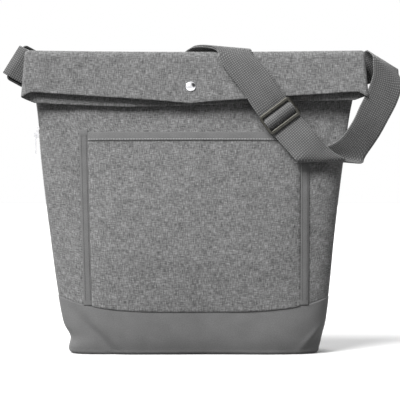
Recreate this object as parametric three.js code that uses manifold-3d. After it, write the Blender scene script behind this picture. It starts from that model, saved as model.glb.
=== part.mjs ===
// Fold-over shoulder tote: a flat fabric tube with a boxed base, folded forward once at the top.
// Millimetres, +Z up, the front faces -Y, the origin is the middle of the base on the ground.
import * as THREE from 'three';
import { mergeVertices } from 'three/addons/utils/BufferGeometryUtils.js';
import Module from 'manifold-3d';

const wasm = await Module();
wasm.setup();

// ---- driving dimensions ----
const CLOTH = 1.5;            // thickness of a fabric wall
const GAP = 0.3;              // clearance between pieces that touch
const NECK_Z = 349;           // height of the fold's axis, where the body ends
const NECK_HALF_DEPTH = 5;    // half the thickness of the flat tube at the neck
const SIDE_LEAN = 4;          // the tube bows this far to the left at mid height
const FOLD_Y = -6.5;          // the fold's axis, just in front of the neck
const FLAP_TILT = THREE.MathUtils.degToRad(12);
const FLAP_HALF_WIDTH = 204;
const FRONT_PLY = 1.5;        // distance of the front ply from the fold's axis
const BACK_PLY = 10;          // distance of the back ply from the fold's axis
const SNAP_HOLE = 2.4;        // radius of the hole for the snap through each ply
const SEAM_MIDDLE_Z = 50;     // top of the base band in the middle
const SEAM_RISE = 19;         // how much higher it is at the side seams
const SEAM_HALF_WIDTH = 162;  // half the bag's width where the seam meets the sides
const BOARD = 2.5;            // stiffener thickness
const WEBBING_WIDTH = 38;
const WEBBING_THICK = 1.6;
const RING_LENGTH = 48;
const RING_WIDTH = 26;
const RING_BAR = 4;
const RING_Y = 17;            // the rings lie this far behind the side seams
const TAB_WIDTH = 36;
const TAB_REACH = 24;         // how far the tab runs back from the ring's inner bar
const ZIP_TOP = 271;
const ZIP_BOTTOM = 151;
const ZIP_HALF = 5;           // half the visible width of the zip
const ZIP_TAPE_THICK = 1.2;
const PULL_WIDTH = 6;
const PULL_LENGTH = 23;
const PULL_THICK = 1.2;
const POCKET_TOP = 263;
const POCKET_FOOT = 58;       // height of the pocket's lower corners
const POCKET_LEFT = [-129, -121.5];   // its left edge at the top and at the foot
const POCKET_RIGHT = [126, 123.5];
const POCKET_BULGE = 8;       // how far the pocket stands off the front
const TAPE_WIDTH = 9.6;
const TAPE_THICK = 1;
const BINDING_HEIGHT = 10;
const SNAP_X = -5.8;
const SNAP_DOWN = 34.4;       // distance of the snap below the fold's axis, along the flap
const SNAP_RADIUS = 6.25;
const SLIDER_LENGTH = 45;
const SLIDER_HEIGHT = 27;
const SLIDER_BAR = 5;
const SLIDER_THICK = 3;

// The tube's sections: height, half width, half depth, squareness of the outline.
const SECTIONS = [
  [0, 146, 50, 5],
  [16, 150.5, 54, 4.8],
  [35, 156, 55, 4.6],
  [SEAM_MIDDLE_Z + SEAM_RISE, SEAM_HALF_WIDTH, 53, 4.2],
  [140, 171, 45, 3.6],
  [225, 181.5, 31, 3.2],
  [300, 191, 15, 3],
  [NECK_Z, 203, NECK_HALF_DEPTH, 3],
];

// ---- materials ----
const finish = (color, roughness, metalness = 0) =>
  new THREE.MeshStandardMaterial({ color, roughness, metalness });
const HEATHER = finish(0x8c8c8c, 0.9);
const BASE_CLOTH = finish(0x707070, 0.9);
const TAPE_CLOTH = finish(0x7c7c7c, 0.85);
const WEBBING = finish(0x686868, 0.85);
const BLACK_METAL = finish(0x1c1c1c, 0.4, 0.6);
const GUNMETAL = finish(0x4c4a46, 0.35, 0.9);
const SILVER = finish(0xd0d0d0, 0.15, 1);
const ZIP_CLOTH = finish(0x161616, 0.8);
const BOARD_PLASTIC = finish(0x2a2a2a, 0.7);

const tote = new THREE.Group();

// ---- building blocks ----
function addMesh(name, geometry, material, parent = tote) {
  const mesh = new THREE.Mesh(geometry, material);
  mesh.name = name;
  parent.add(mesh);
  return mesh;
}

function signedVolume(geometry) {
  const points = geometry.getAttribute('position');
  const index = geometry.getIndex();
  const corner = [new THREE.Vector3(), new THREE.Vector3(), new THREE.Vector3()];
  let sum = 0;
  for (let i = 0; i < index.count; i += 3) {
    corner.forEach((c, k) => c.fromBufferAttribute(points, index.getX(i + k)));
    sum += corner[0].dot(corner[1].cross(corner[2]));
  }
  return sum;
}

// A closed body between two grids of points: pair(u, v) gives its outer and inner point.
function slab(columns, rows, pair) {
  const positions = [];
  const faces = [];
  const at = (side, i, j) => side * (columns + 1) * (rows + 1) + j * (columns + 1) + i;
  for (const side of [0, 1]) {
    for (let j = 0; j <= rows; j += 1) {
      for (let i = 0; i <= columns; i += 1) {
        positions.push(...pair(i / columns, j / rows)[side].toArray());
      }
    }
  }
  const quad = (a, b, c, d) => faces.push(a, b, c, a, c, d);
  for (let j = 0; j < rows; j += 1) {
    for (let i = 0; i < columns; i += 1) {
      quad(at(0, i, j), at(0, i + 1, j), at(0, i + 1, j + 1), at(0, i, j + 1));
      quad(at(1, i, j), at(1, i, j + 1), at(1, i + 1, j + 1), at(1, i + 1, j));
    }
  }
  for (let i = 0; i < columns; i += 1) {
    quad(at(0, i, 0), at(1, i, 0), at(1, i + 1, 0), at(0, i + 1, 0));
    quad(at(0, i, rows), at(0, i + 1, rows), at(1, i + 1, rows), at(1, i, rows));
  }
  for (let j = 0; j < rows; j += 1) {
    quad(at(0, 0, j), at(0, 0, j + 1), at(1, 0, j + 1), at(1, 0, j));
    quad(at(0, columns, j), at(1, columns, j), at(1, columns, j + 1), at(0, columns, j + 1));
  }
  const geometry = new THREE.BufferGeometry();
  geometry.setAttribute('position', new THREE.Float32BufferAttribute(positions, 3));
  geometry.setIndex(faces);
  if (signedVolume(geometry) < 0) {
    for (let i = 0; i < faces.length; i += 3) [faces[i], faces[i + 1]] = [faces[i + 1], faces[i]];
    geometry.setIndex(faces);
  }
  return geometry;
}

function toManifold(geometry) {
  const bare = geometry.clone();
  bare.deleteAttribute('normal');
  bare.deleteAttribute('uv');
  const merged = mergeVertices(bare, 1e-4);
  const vertProperties = new Float32Array(merged.getAttribute('position').array);
  const triVerts = new Uint32Array(merged.getIndex().array);
  return new wasm.Manifold(new wasm.Mesh({ numProp: 3, vertProperties, triVerts }));
}

function fromManifold(solid) {
  const mesh = solid.getMesh();
  const geometry = new THREE.BufferGeometry();
  geometry.setAttribute('position', new THREE.Float32BufferAttribute(mesh.vertProperties, 3));
  geometry.setIndex([...mesh.triVerts]);
  return geometry;
}

const cut = (geometry, tool) => fromManifold(toManifold(geometry).subtract(toManifold(tool)));
const join = (geometry, other) => fromManifold(toManifold(geometry).add(toManifold(other)));

function boxBetween(low, high) {
  const size = high.map((h, k) => h - low[k]);
  const box = new THREE.BoxGeometry(...size);
  return box.translate(...low.map((l, k) => l + size[k] / 2));
}

// ---- the tube's surface ----
function sectionAt(z) {
  const last = SECTIONS.length - 1;
  const above = Math.min(last, Math.max(1, SECTIONS.findIndex((s) => s[0] >= z)));
  const [low, high] = [SECTIONS[above - 1], SECTIONS[above]];
  const t = (z - low[0]) / (high[0] - low[0]);
  return low.map((value, k) => value + (high[k] - value) * t);
}

const leanAt = (z) => -SIDE_LEAN * Math.sin((Math.PI * z) / NECK_Z);

// A point on the tube: turn runs 0 to 1 from the left seam to the right one, side -1 is the front.
function tubePoint(turn, z, side, inset) {
  const [, halfWidth, halfDepth, squareness] = sectionAt(z);
  const angle = Math.PI * turn;
  const power = 2 / squareness;
  const c = Math.cos(angle);
  const x = -Math.sign(c) * Math.abs(c) ** power * (halfWidth - inset);
  const y = side * (Math.abs(Math.sin(angle)) ** power * (halfDepth - inset) + GAP / 2);
  return new THREE.Vector3(x + leanAt(z), y, z);
}

// Depth of the front of the tube at a place, as a distance in front of the side seams.
function frontAt(x, z) {
  const [, halfWidth, halfDepth, squareness] = sectionAt(z);
  const across = Math.min(1, Math.abs(x - leanAt(z)) / halfWidth);
  return halfDepth * (1 - across ** squareness) ** (1 / squareness) + GAP / 2;
}

const seamAt = (x) => SEAM_MIDDLE_Z + SEAM_RISE * (Math.abs(x) / SEAM_HALF_WIDTH) ** 3.8;

function wall(side, low, high, rows) {
  return slab(24, rows, (u, v) => {
    const z = THREE.MathUtils.lerp(low(u), high(u), v);
    return [tubePoint(u, z, side, 0), tubePoint(u, z, side, CLOTH)];
  });
}

const seamAlong = (u) => seamAt(tubePoint(u, SEAM_MIDDLE_Z, -1, 0).x);

function bodyPanels() {
  const zipCut = boxBetween([-250, -ZIP_HALF - GAP, ZIP_BOTTOM], [-100, ZIP_HALF + GAP, ZIP_TOP]);
  for (const [name, side] of [['front_panel', -1], ['back_panel', 1]]) {
    const panel = wall(side, (u) => seamAlong(u) + GAP, () => NECK_Z - GAP, 9);
    addMesh(name, cut(panel, zipCut), HEATHER);
  }
}

function baseBands() {
  for (const [name, side] of [['base_front_band', -1], ['base_back_band', 1]]) {
    addMesh(name, wall(side, () => CLOTH + GAP, seamAlong, 4), BASE_CLOTH);
  }
}

// A flat plate of the tube's base outline.
function basePlate(inset, low, high) {
  const outline = new THREE.Shape();
  const [, halfWidth, halfDepth, squareness] = SECTIONS[0];
  const steps = 40;
  const points = Array.from({ length: steps }, (_, k) => {
    const angle = (2 * Math.PI * k) / steps;
    const reach = (value, half) => Math.sign(value) * Math.abs(value) ** (2 / squareness) * (half - inset);
    return new THREE.Vector2(reach(Math.cos(angle), halfWidth), reach(Math.sin(angle), halfDepth));
  });
  outline.setFromPoints(points);
  return new THREE.ExtrudeGeometry(outline, { depth: high - low, bevelEnabled: false }).translate(0, 0, low);
}

function base() {
  addMesh('base_bottom', basePlate(0, 0, CLOTH), BASE_CLOTH);
  addMesh('base_board', basePlate(5, CLOTH + GAP, CLOTH + GAP + BOARD), BOARD_PLASTIC);
}

// ---- front pocket ----
const pocketEdges = (z) => {
  const t = (POCKET_TOP - z) / (POCKET_TOP - POCKET_FOOT);
  return [THREE.MathUtils.lerp(...POCKET_LEFT, t), THREE.MathUtils.lerp(...POCKET_RIGHT, t)];
};

// How far the pocket stands off the front: nothing at its sewn edges, most at its mouth.
function pocketLift(u, z) {
  const across = Math.sin(Math.PI * u) ** 0.6;
  const up = THREE.MathUtils.clamp((z - SEAM_MIDDLE_Z) / 60, 0, 1);
  return GAP + POCKET_BULGE * across * up;
}

function onFront(x, z, lift) {
  return new THREE.Vector3(x, -frontAt(x, z) - lift, z);
}

function pocketStrip(low, high, lift, thick, rows) {
  return slab(20, rows, (u, v) => {
    const z = THREE.MathUtils.lerp(low(u), high, v);
    const [left, right] = pocketEdges(z);
    const x = THREE.MathUtils.lerp(left + GAP, right - GAP, u);
    const off = pocketLift(u, z) + lift;
    return [onFront(x, z, off + thick), onFront(x, z, off)];
  });
}

function pocket() {
  const bottom = (u) => {
    const [left, right] = pocketEdges(SEAM_MIDDLE_Z + 5);
    return seamAt(THREE.MathUtils.lerp(left, right, u)) + 2 * GAP;
  };
  const bindingLow = POCKET_TOP - BINDING_HEIGHT;
  addMesh('front_pocket', pocketStrip(bottom, bindingLow - GAP, 0, CLOTH, 7), HEATHER);
  const binding = pocketStrip(() => bindingLow, POCKET_TOP, 0, CLOTH + TAPE_THICK, 1);
  addMesh('pocket_top_binding', binding, TAPE_CLOTH);
  for (const [name, side, top] of [['pocket_left_tape', 0, 265], ['pocket_right_tape', 1, 264]]) {
    const geometry = slab(2, 8, (u, v) => {
      const edge = pocketEdges(POCKET_FOOT)[side] + (side ? TAPE_WIDTH : -TAPE_WIDTH) / 2;
      const z = THREE.MathUtils.lerp(seamAt(edge) + 3 * GAP, top, v);
      const near = pocketEdges(z)[side];
      const x = near + (side ? 1 : -1) * u * TAPE_WIDTH;
      return [onFront(x, z, GAP + TAPE_THICK), onFront(x, z, GAP)];
    });
    addMesh(name, geometry, TAPE_CLOTH);
  }
}

// ---- side zip ----
const edgeAt = (z) => leanAt(z) - sectionAt(z)[1];

function zip() {
  for (const [name, side] of [['zip_tape_front', -1], ['zip_tape_back', 1]]) {
    const geometry = slab(1, 6, (u, v) => {
      const z = THREE.MathUtils.lerp(ZIP_BOTTOM + GAP, ZIP_TOP - GAP, v);
      const y = side * THREE.MathUtils.lerp(GAP / 2, ZIP_HALF, u);
      const x = edgeAt(z) + 0.2;
      return [new THREE.Vector3(x, y, z), new THREE.Vector3(x + ZIP_TAPE_THICK, y, z)];
    });
    addMesh(name, geometry, ZIP_CLOTH);
  }
  for (const [name, z] of [['zip_top_stop', ZIP_TOP - 2], ['zip_bottom_stop', ZIP_BOTTOM + 3]]) {
    const x = edgeAt(z);
    addMesh(name, boxBetween([x - 1.2, -2.5, z - 1.2], [x - 0.3, 2.5, z + 1.2]), SILVER);
  }
  const top = ZIP_TOP - 5;
  const lean = Math.atan2(edgeAt(ZIP_BOTTOM) - edgeAt(top), top - ZIP_BOTTOM);
  const slider = new THREE.Group();
  slider.position.set(edgeAt(top) - 1.1, 0, top);
  slider.rotation.y = -lean;
  slider.updateMatrixWorld();
  tote.add(slider);
  const plate = boxBetween([-2, -3.6, -9], [-0.2, 3.6, 0]);
  const arch = boxBetween([-5.2, -1.1, -7.6], [-1.9, 1.1, -2.4]);
  const underArch = boxBetween([-4, -2, -6.4], [-2, 2, -3.6]);
  addMesh('zip_slider', cut(join(plate, arch), underArch), SILVER, slider);

  // The pull is a plate whose top bar runs under the slider's arch, with a slot that clears the arch.
  const outline = new THREE.Shape();
  outline.moveTo(-PULL_WIDTH / 2, 0.7);
  outline.lineTo(PULL_WIDTH / 2, 0.7);
  outline.absarc(0, -PULL_LENGTH, PULL_WIDTH / 2, 0, -Math.PI, true);
  const slot = new THREE.Path();
  slot.moveTo(-1.5, -4.2);
  slot.lineTo(1.5, -4.2);
  slot.lineTo(1.5, -0.7);
  slot.lineTo(-1.5, -0.7);
  outline.holes.push(slot);
  const thickness = { depth: PULL_THICK, bevelEnabled: false, curveSegments: 8 };
  const pull = new THREE.ExtrudeGeometry(outline, thickness);
  const acrossBag = new THREE.Vector3(0, 1, 0);
  const upward = new THREE.Vector3(0, 0, 1);
  const outOfBag = new THREE.Vector3(1, 0, 0);
  pull.applyMatrix4(new THREE.Matrix4().makeBasis(acrossBag, upward, outOfBag));
  pull.translate(-PULL_THICK / 2, 0, 0);
  const pivot = slider.localToWorld(new THREE.Vector3(-3, 0, -5));
  const hang = new THREE.Group();
  hang.position.copy(pivot);
  tote.add(hang);
  addMesh('zip_pull', pull, SILVER, hang);
}

// ---- top fold and flap ----
const ALONG = new THREE.Vector3(0, -Math.sin(FLAP_TILT), -Math.cos(FLAP_TILT));
const OUTWARD = new THREE.Vector3(0, -Math.cos(FLAP_TILT), Math.sin(FLAP_TILT));

function flapPoint(x, down, out) {
  return new THREE.Vector3(x, FOLD_Y, NECK_Z).addScaledVector(ALONG, down).addScaledVector(OUTWARD, out);
}

// Length of each ply along the flap: the back ply's hem dips below the snap.
const backHem = (x) => 55.4 - 13 * Math.min(1, Math.abs(x - SNAP_X) / 190) ** 0.75;
const frontHem = (x) => 57 - 7 * Math.min(1, Math.abs(x + 80) / 200) ** 1.2;

function ply(length, offset) {
  return slab(20, 3, (u, v) => {
    const x = THREE.MathUtils.lerp(-FLAP_HALF_WIDTH, FLAP_HALF_WIDTH, u);
    const down = THREE.MathUtils.lerp(GAP, length(x), v);
    return [flapPoint(x, down, offset + CLOTH), flapPoint(x, down, offset)];
  });
}

function foldBand(offset) {
  const end = Math.PI - FLAP_TILT;
  return slab(1, 14, (u, v) => {
    const x = THREE.MathUtils.lerp(-FLAP_HALF_WIDTH + 1, FLAP_HALF_WIDTH - 1, u);
    const angle = THREE.MathUtils.lerp(0.001, end, v);
    const place = (r) => new THREE.Vector3(x, FOLD_Y + r * Math.cos(angle), NECK_Z + r * Math.sin(angle));
    return [place(offset + CLOTH), place(offset)];
  });
}

// A turned piece of the snap, standing on the flap with its axis along the flap's outward normal.
function snapPiece(name, profile) {
  const points = profile.map(([r, h]) => new THREE.Vector2(r, h));
  const geometry = new THREE.LatheGeometry(points, 24);
  const turned = new THREE.Group();
  turned.position.copy(flapPoint(SNAP_X, SNAP_DOWN, 0));
  turned.quaternion.setFromUnitVectors(new THREE.Vector3(0, 1, 0), OUTWARD);
  tote.add(turned);
  const clean = geometry.clone();
  clean.deleteAttribute('normal');
  clean.deleteAttribute('uv');
  addMesh(name, mergeVertices(clean, 1e-4), SILVER, turned);
}

function flap() {
  const hole = new THREE.CylinderGeometry(SNAP_HOLE, SNAP_HOLE, 40, 24);
  hole.applyQuaternion(new THREE.Quaternion().setFromUnitVectors(new THREE.Vector3(0, 1, 0), OUTWARD));
  hole.translate(...flapPoint(SNAP_X, SNAP_DOWN, 0).toArray());
  addMesh('flap_front_ply', cut(ply(frontHem, FRONT_PLY), hole), HEATHER);
  addMesh('flap_back_ply', cut(ply(backHem, BACK_PLY), hole), HEATHER);
  addMesh('inner_fold_band', foldBand(FRONT_PLY), HEATHER);
  addMesh('outer_fold_band', foldBand(BACK_PLY), HEATHER);

  const face = BACK_PLY + CLOTH + GAP;
  const rim = SNAP_RADIUS;
  snapPiece('snap_cap', [
    [0, BACK_PLY - GAP], [2, BACK_PLY - GAP], [2, face], [rim - 0.4, face], [rim, face + 0.5],
    [rim * 0.86, face + 1.5], [rim * 0.6, face + 2.3], [rim * 0.3, face + 2.7], [0, face + 2.8],
  ]);
  snapPiece('snap_socket', [
    [SNAP_HOLE, BACK_PLY - 3.6], [5, BACK_PLY - 3.6], [5.6, BACK_PLY - 2.6], [5.6, BACK_PLY - 2 * GAP],
    [SNAP_HOLE, BACK_PLY - 2 * GAP], [SNAP_HOLE, BACK_PLY - 3.6],
  ]);
  const seat = FRONT_PLY + CLOTH + GAP;
  snapPiece('snap_stud', [
    [0, seat], [5, seat], [5, seat + 1], [2, seat + 1.4], [1.8, seat + 2.6], [2.1, seat + 4],
    [1.4, seat + 4.6], [0, seat + 4.6],
  ]);
  snapPiece('snap_post', [
    [0, FRONT_PLY - GAP - 0.9], [5, FRONT_PLY - GAP - 0.9], [5, FRONT_PLY - GAP], [2, FRONT_PLY - GAP],
    [2, FRONT_PLY + CLOTH], [0, FRONT_PLY + CLOTH],
  ]);
}

// ---- rings and their tabs ----
// Each ring: its middle, and the unit direction from the tab's bar to the strap's bar.
const LEFT_RING = { name: 'left', middle: [-209, 345], out: [-0.878, 0.479] };
const RIGHT_RING = { name: 'right', middle: [180, 331], out: [0.9, 0.436] };

function ringFrame({ middle, out }) {
  const outward = new THREE.Vector3(out[0], 0, out[1]);
  const back = new THREE.Vector3(0, 1, 0);
  const bar = new THREE.Vector3().crossVectors(back, outward);
  const group = new THREE.Group();
  group.position.set(middle[0], RING_Y, middle[1]);
  const axes = new THREE.Matrix4().makeBasis(outward, bar.negate(), back.negate());
  group.quaternion.setFromRotationMatrix(axes);
  tote.add(group);
  return group;
}

function roundedRectangle(path, width, height, radius) {
  const [x, y] = [width / 2, height / 2];
  path.moveTo(x, -y + radius);
  path.lineTo(x, y - radius);
  path.absarc(x - radius, y - radius, radius, 0, Math.PI / 2);
  path.lineTo(-x + radius, y);
  path.absarc(-x + radius, y - radius, radius, Math.PI / 2, Math.PI);
  path.lineTo(-x, -y + radius);
  path.absarc(-x + radius, -y + radius, radius, Math.PI, 1.5 * Math.PI);
  path.lineTo(x - radius, -y);
  path.absarc(x - radius, -y + radius, radius, 1.5 * Math.PI, 2 * Math.PI);
  return path;
}

function ring(place) {
  const group = ringFrame(place);
  const outline = roundedRectangle(new THREE.Shape(), RING_WIDTH, RING_LENGTH, 5);
  const opening = [RING_WIDTH - 2 * RING_BAR, RING_LENGTH - 2 * RING_BAR];
  outline.holes.push(roundedRectangle(new THREE.Path(), ...opening, 1.5));
  const thickness = { depth: RING_BAR, bevelEnabled: false, curveSegments: 3 };
  const body = new THREE.ExtrudeGeometry(outline, thickness);
  addMesh(`${place.name}_ring`, body.translate(0, 0, -RING_BAR / 2), BLACK_METAL, group);

  // The tab is a folded strip round the ring's inner bar: a hairpin outline, extruded along the bar.
  const inner = RING_BAR / Math.SQRT2 + 0.5;
  const barAt = -(RING_WIDTH - RING_BAR) / 2;
  const hairpin = new THREE.Shape();
  hairpin.moveTo(barAt - TAB_REACH, -inner - WEBBING_THICK);
  hairpin.lineTo(barAt, -inner - WEBBING_THICK);
  hairpin.absarc(barAt, 0, inner + WEBBING_THICK, -Math.PI / 2, Math.PI / 2);
  hairpin.lineTo(barAt - TAB_REACH, inner + WEBBING_THICK);
  hairpin.lineTo(barAt - TAB_REACH, inner);
  hairpin.lineTo(barAt, inner);
  hairpin.absarc(barAt, 0, inner, Math.PI / 2, -Math.PI / 2, true);
  hairpin.lineTo(barAt - TAB_REACH, -inner);
  hairpin.closePath();
  const width = { depth: TAB_WIDTH, bevelEnabled: false, curveSegments: 10 };
  const tab = new THREE.ExtrudeGeometry(hairpin, width);
  tab.translate(0, 0, -TAB_WIDTH / 2);
  tab.rotateX(Math.PI / 2);
  addMesh(`${place.name}_tab`, tab, WEBBING, group);
}

// ---- strap ----
// Places along the strap from its sewn end at the right ring, down and up the front, over the fold
// and round the back to the left ring: the middle of the webbing, and the line across it.
const STRAP_ROUTE = [
  // the sewn end, round the right ring's outer bar
  [[206.1, 21, 343.6], [-0.436, 0, 0.9]],
  [[197.1, 21.8, 339.3], [-0.436, 0, 0.9]],
  [[190.4, 21.6, 336], [-0.436, 0, 0.9]],
  [[185.9, 17, 333.9], [-0.436, 0, 0.9]],
  [[190.4, 12.4, 336], [-0.436, 0, 0.9]],
  [[196.2, 11.6, 338.9], [-0.436, 0, 0.9]],
  // up and over, out of the right side, and down the front
  [[207, 10.5, 342.5], [-0.46, 0, 0.89]],
  [[215.5, 8.5, 346.2], [-0.62, 0, 0.78]],
  [[225.5, -1, 351], [-0.84, -0.05, 0.52]],
  [[229, -13, 342], [-0.76, -0.3, 0.5]],
  [[230, -18.5, 326.5], [-0.82, -0.2, 0.5]],
  [[224, -20, 307], [-0.86, -0.15, 0.46]],
  [[213.5, -21, 286], [-0.86, -0.2, 0.45]],
  [[202.5, -21.5, 265], [-0.82, -0.31, 0.44]],
  [[186.5, -22, 244], [-0.83, -0.33, 0.34]],
  // the turn at the bottom of the hanging loop
  [[167.5, -25, 232.5], [-0.94, -0.16, 0.17]],
  [[154.5, -32, 228.2], [-0.99, 0, 0.04]],
  [[146.5, -38.5, 229.2], [-0.99, 0, -0.1]],
  [[137, -41.5, 237.5], [-0.89, -0.14, -0.4]],
  [[125.5, -40.2, 251], [-0.83, 0, -0.56]],
  [[112, -35.8, 266.5], [-0.8, 0, -0.6]],
  // through the slider
  [[104.8, -34, 275.6], [-0.8, 0, -0.6]],
  [[101.8, -40, 279.6], [-0.8, 0, -0.6]],
  [[98.2, -40, 284.4], [-0.8, 0, -0.6]],
  [[95.2, -34.2, 288.4], [-0.8, 0, -0.6]],
  [[87, -34, 299], [-0.8, 0, -0.6]],
  [[73.5, -32, 320], [-0.85, 0, -0.5]],
  [[58.5, -28, 340], [-0.97, 0, -0.2]],
  // over the top fold, crossing it on the slant
  [[49, -22.5, 354], [-1, 0, 0.03]],
  [[45, -14.5, 363.2], [-0.99, 0, 0.08]],
  [[37, -4, 366.2], [-0.99, 0, 0.09]],
  [[24.5, 6.5, 364.5], [-0.99, 0, 0.1]],
  [[12, 14.5, 357.5], [-0.99, 0, 0.12]],
  // down and along the back, and up to the left ring
  [[0, 18, 344], [-0.95, 0, 0.25]],
  [[-14, 21.5, 324], [-0.75, 0, 0.66]],
  [[-36, 24.5, 305], [-0.54, 0, 0.84]],
  [[-66, 27, 292], [-0.24, 0, 0.97]],
  [[-99, 28, 288], [0.05, 0, 1]],
  [[-132, 28.5, 294], [0.3, 0, 0.95]],
  [[-162, 28, 307], [0.42, 0, 0.9]],
  [[-186, 27.5, 323.5], [0.479, 0, 0.878]],
  [[-202, 27, 337], [0.479, 0, 0.878]],
  [[-212, 24.5, 345.5], [0.52, 0, 0.85]],
  [[-219, 22.2, 350.5], [0.56, 0, 0.83]],
  [[-224.3, 17, 353.6], [0.53, 0, 0.85]],
  [[-218, 11.8, 350], [0.56, 0, 0.83]],
  [[-210, 11.4, 345.4], [0.52, 0, 0.85]],
];
const SLIDER_AT = new THREE.Vector3(100, -37, 282);
const DOUBLED = [25, 41];        // the route's places between which the webbing is doubled
const LAYER = 2.0;               // distance between the two layers of webbing
const STEPS_PER_PLACE = 2;

const smoothThrough = (places) => {
  const points = places.map((p) => new THREE.Vector3(...p));
  return new THREE.CatmullRomCurve3(points, false, 'centripetal');
};

// Webbing along the route from one of its places to another, moved off it by shift.
function webbing(first, last, shift) {
  const middle = smoothThrough(STRAP_ROUTE.map(([place]) => place));
  const across = smoothThrough(STRAP_ROUTE.map(([, line]) => line));
  const places = STRAP_ROUTE.length - 1;
  return slab(1, (last - first) * STEPS_PER_PLACE, (u, v) => {
    const t = THREE.MathUtils.lerp(first, last, v) / places;
    const line = across.getPoint(t).normalize();
    const normal = new THREE.Vector3().crossVectors(middle.getTangent(t), line);
    const reach = ((u - 0.5) * WEBBING_WIDTH) / normal.length();
    normal.normalize();
    const edge = middle.getPoint(t).addScaledVector(line, reach).addScaledVector(normal, shift);
    return [1, -1].map((face) => edge.clone().addScaledVector(normal, (face * WEBBING_THICK) / 2));
  });
}

function strap() {
  addMesh('strap_main', webbing(0, STRAP_ROUTE.length - 1, 0), WEBBING);
  addMesh('strap_return', webbing(...DOUBLED, -LAYER), WEBBING);

  // The slider is a frame with three bars across the webbing.
  const window = (SLIDER_HEIGHT - 3 * SLIDER_BAR) / 2;
  const outline = roundedRectangle(new THREE.Shape(), SLIDER_LENGTH, SLIDER_HEIGHT, 3);
  for (const side of [-1, 1]) {
    const middle = (side * (window + SLIDER_BAR)) / 2;
    const opening = roundedRectangle(new THREE.Path(), WEBBING_WIDTH + 1.4, window, 0.8);
    const points = opening.getPoints(3).map((p) => new THREE.Vector2(p.x, p.y + middle));
    outline.holes.push(new THREE.Path().setFromPoints(points));
  }
  const thickness = { depth: SLIDER_THICK, bevelEnabled: false, curveSegments: 3 };
  const frame = new THREE.ExtrudeGeometry(outline, thickness);
  const group = new THREE.Group();
  group.position.copy(SLIDER_AT);
  const long = new THREE.Vector3(0.8, 0, 0.6);
  const up = new THREE.Vector3(-0.6, 0, 0.8);
  group.quaternion.setFromRotationMatrix(
    new THREE.Matrix4().makeBasis(long, up, new THREE.Vector3().crossVectors(long, up)));
  tote.add(group);
  addMesh('strap_slider', frame.translate(0, 0, -SLIDER_THICK / 2), GUNMETAL, group);
}

bodyPanels();
baseBands();
base();
pocket();
zip();
flap();
ring(LEFT_RING);
ring(RIGHT_RING);
strap();

tote.updateMatrixWorld(true);
export default tote;
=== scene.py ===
"""Looks for the fold-over shoulder tote: cloth, webbing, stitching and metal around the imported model.

Metres, +Z up, the front faces -Y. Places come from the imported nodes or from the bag's sizes below.
"""
import math
import bpy
import numpy as np
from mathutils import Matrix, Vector, noise


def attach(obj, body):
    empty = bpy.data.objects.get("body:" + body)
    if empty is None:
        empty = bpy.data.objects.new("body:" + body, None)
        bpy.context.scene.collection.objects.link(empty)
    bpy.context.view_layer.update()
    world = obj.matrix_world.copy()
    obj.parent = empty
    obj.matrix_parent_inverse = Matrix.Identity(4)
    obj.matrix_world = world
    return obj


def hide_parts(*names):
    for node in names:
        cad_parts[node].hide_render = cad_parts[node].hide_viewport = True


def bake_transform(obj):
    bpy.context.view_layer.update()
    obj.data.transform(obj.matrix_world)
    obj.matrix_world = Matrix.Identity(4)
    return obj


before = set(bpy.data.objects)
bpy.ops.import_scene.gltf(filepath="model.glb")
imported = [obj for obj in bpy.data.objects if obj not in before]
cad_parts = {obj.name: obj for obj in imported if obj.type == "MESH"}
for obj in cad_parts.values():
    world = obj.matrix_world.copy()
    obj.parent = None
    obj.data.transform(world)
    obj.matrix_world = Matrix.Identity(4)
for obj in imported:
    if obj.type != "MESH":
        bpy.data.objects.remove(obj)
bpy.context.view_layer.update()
MM = 0.001
FORWARD = np.array((0.0, -1.0, 0.0))
BACKWARD = -FORWARD

# ---- the bag's sizes ----
CLOTH = 1.2 * MM
GAP = 0.3 * MM
NECK_Z = 0.349                     # height of the fold's axis
FOLD_Y = -0.0065
FLAP_TILT = math.radians(12)
FLAP_HALF_WIDTH = 0.204
SIDE_LEAN = 0.004
SEAM_MIDDLE_Z = 0.050
SEAM_RISE = 0.019
SEAM_HALF_WIDTH = 0.162
POCKET_TOP = 0.263
POCKET_FOOT = 0.058
POCKET_LEFT = -0.129
POCKET_RIGHT = 0.126
POCKET_BULGE = 0.008
TAPE_WIDTH = 0.0096
BINDING_HEIGHT = 0.010
SNAP_X = -0.0058
SNAP_DOWN = 0.0344
WEBBING_WIDTH = 0.038
WEBBING_THICK = 1.5 * MM
STITCH = 3.0 * MM
# height, half width, half depth, squareness of the tube's outline
SECTIONS = np.array([
    (0.000, 0.1460, 0.0500, 5.0),
    (0.016, 0.1505, 0.0540, 4.8),
    (0.035, 0.1560, 0.0550, 4.6),
    (0.069, 0.1620, 0.0530, 4.2),
    (0.140, 0.1710, 0.0450, 3.6),
    (0.225, 0.1815, 0.0310, 3.2),
    (0.300, 0.1910, 0.0150, 3.0),
    (NECK_Z, 0.2030, 0.0050, 3.0),
])
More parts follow.
